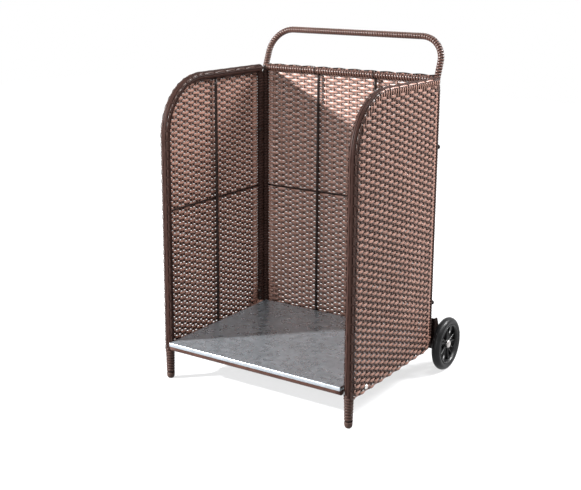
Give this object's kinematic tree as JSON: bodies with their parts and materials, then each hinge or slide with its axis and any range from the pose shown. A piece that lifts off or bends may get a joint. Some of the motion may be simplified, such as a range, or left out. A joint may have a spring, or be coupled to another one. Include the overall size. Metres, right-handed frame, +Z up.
{
  "type": "fireside log cart",
  "caption": "Upright log cart with woven walls on bent tube frames, a sheet-metal floor tray, an open front and top, wrapped front legs, rear wheels and a wrapped handle loop.",
  "frame": {"origin": "on the floor, under the middle of the cart's overall width and depth", "axes": "+X the cart's right seen from the front, +Y back towards the handle and wheels, +Z up"},
  "size_m": [0.652, 0.5864, 0.9396],
  "materials": {
    "strand": "flat resin strand, mid-brown, satin",
    "binding": "flat resin strand, dark brown, satin",
    "painted_steel": "dark brown paint on steel tube",
    "ring_steel": "brown paint on steel tube",
    "galvanised": "spangled galvanised sheet",
    "zinc": "zinc-plated",
    "chrome": "bright chrome",
    "tyre": "dark grey rubber",
    "plastic": "black moulded plastic"
  },
  "bodies": {
    "frame": {"side_hoop_left": "painted_steel", "side_rod_left": "painted_steel", "side_cross_rod_left": "painted_steel", "front_binding_left": "binding", "leg_wrap_left": "binding", "foot_cap_left": "plastic", "side_weave_left": "strand", "axle_bracket_left": "painted_steel", "axle_spacer_left": "plastic", "hub_cap_left": "chrome", "side_hoop_right": "painted_steel", "side_rod_right": "painted_steel", "side_cross_rod_right": "painted_steel", "front_binding_right": "binding", "leg_wrap_right": "binding", "foot_cap_right": "plastic", "side_weave_right": "strand", "axle_bracket_right": "painted_steel", "axle_spacer_right": "plastic", "hub_cap_right": "chrome", "back_hoop": "painted_steel", "back_top_rail": "painted_steel", "back_bottom_rail": "painted_steel", "back_rod_left": "painted_steel", "back_rod_right": "painted_steel", "back_cross_rod": "painted_steel", "handle_wrap": "strand", "rail_wrap": "strand", "back_weave": "strand", "base_ring": "ring_steel", "floor_spacer_front_left": "plastic", "floor_spacer_rear_left": "plastic", "floor_spacer_front_right": "plastic", "floor_spacer_rear_right": "plastic", "tray_bearer_left": "ring_steel", "tray_bearer_right": "ring_steel", "floor_tray": "galvanised", "axle": "zinc", "floor_bolt_front_left": "zinc", "floor_bolt_rear_left": "zinc", "floor_bolt_front_right": "zinc", "floor_bolt_rear_right": "zinc", "back_bolt_lower_left": "zinc", "back_bolt_upper_left": "zinc", "back_bolt_lower_right": "zinc", "back_bolt_upper_right": "zinc", "rear_bolt_left": "zinc", "rear_bolt_right": "zinc", "bracket_bolt_lower_left": "zinc", "bracket_bolt_upper_left": "zinc", "bracket_bolt_lower_right": "zinc", "bracket_bolt_upper_right": "zinc"},
    "wheel_left": {"tyre_left": "tyre", "rim_left": "plastic"},
    "wheel_right": {"tyre_right": "tyre", "rim_right": "plastic"}
  },
  "joints": [
    {"name": "wheel_left_spin", "type": "hinge", "parent": "frame", "child": "wheel_left", "pos_m": [-0.3135, 0.21815, 0.075], "axis": [1, 0, 0], "continuous": true},
    {"name": "wheel_right_spin", "type": "hinge", "parent": "frame", "child": "wheel_right", "pos_m": [0.3135, 0.21815, 0.075], "axis": [1, 0, 0], "continuous": true}
  ]
}
